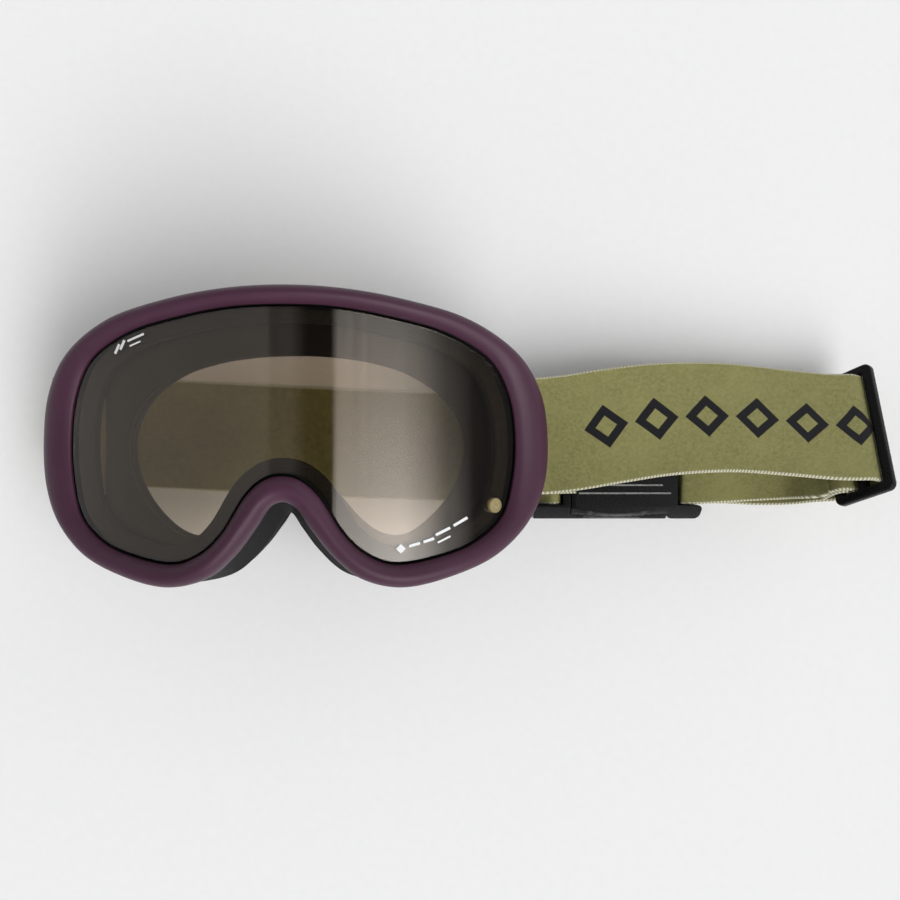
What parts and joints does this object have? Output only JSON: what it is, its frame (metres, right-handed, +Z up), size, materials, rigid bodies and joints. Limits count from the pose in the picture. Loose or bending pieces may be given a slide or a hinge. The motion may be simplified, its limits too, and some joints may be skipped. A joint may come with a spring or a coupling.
{
  "type": "ski goggles",
  "caption": "Ski goggles lying lens up with the elastic strap folded out to one side, through a three-bar slider and a push-together clip.",
  "frame": {"origin": "bottom centre of the whole object, on the table it lies on", "axes": "+X from the frame towards the strap slider, +Y from the nose notch towards the brow, +Z up out of the lens"},
  "size_m": [0.2968, 0.0966, 0.0747],
  "materials": {
    "rim_plum": "satin",
    "frame_black": "matt",
    "lens_tint": "polished",
    "lens_clear": "polished",
    "gasket_foam": "matt",
    "valve_membrane": "matt",
    "foam_black": "open-cell foam",
    "fleece_black": "brushed fleece",
    "bar_steel": "drawn",
    "webbing_olive": "elastic webbing",
    "buckle_black": "satin"
  },
  "bodies": {
    "goggles": {"frame_rim": "rim_plum", "frame_chassis": "frame_black", "outer_lens": "lens_tint", "lens_gasket": "gasket_foam", "inner_lens": "lens_clear", "equaliser_valve": "valve_membrane", "face_foam_base": "foam_black", "face_foam_middle": "foam_black", "face_fleece": "fleece_black", "vent_foam_brow": "foam_black", "vent_foam_cheek_left": "foam_black", "vent_foam_cheek_right": "foam_black", "strap_bar_left": "bar_steel", "strap_bar_right": "bar_steel", "strap_left": "webbing_olive", "strap_right": "webbing_olive", "clip_receiver": "buckle_black"},
    "slider": {"strap_slider": "buckle_black"},
    "plug": {"clip_plug": "buckle_black"}
  },
  "joints": [
    {"name": "slider_adjust", "type": "slide", "parent": "goggles", "child": "slider", "axis": [-1, 0, 0], "range_m": [0, 0.027], "deforming": ["strap_right"]},
    {"name": "clip_release", "type": "slide", "parent": "goggles", "child": "plug", "axis": [1, 0, 0], "range_m": [0, 0.012], "deforming": ["strap_right"]}
  ]
}
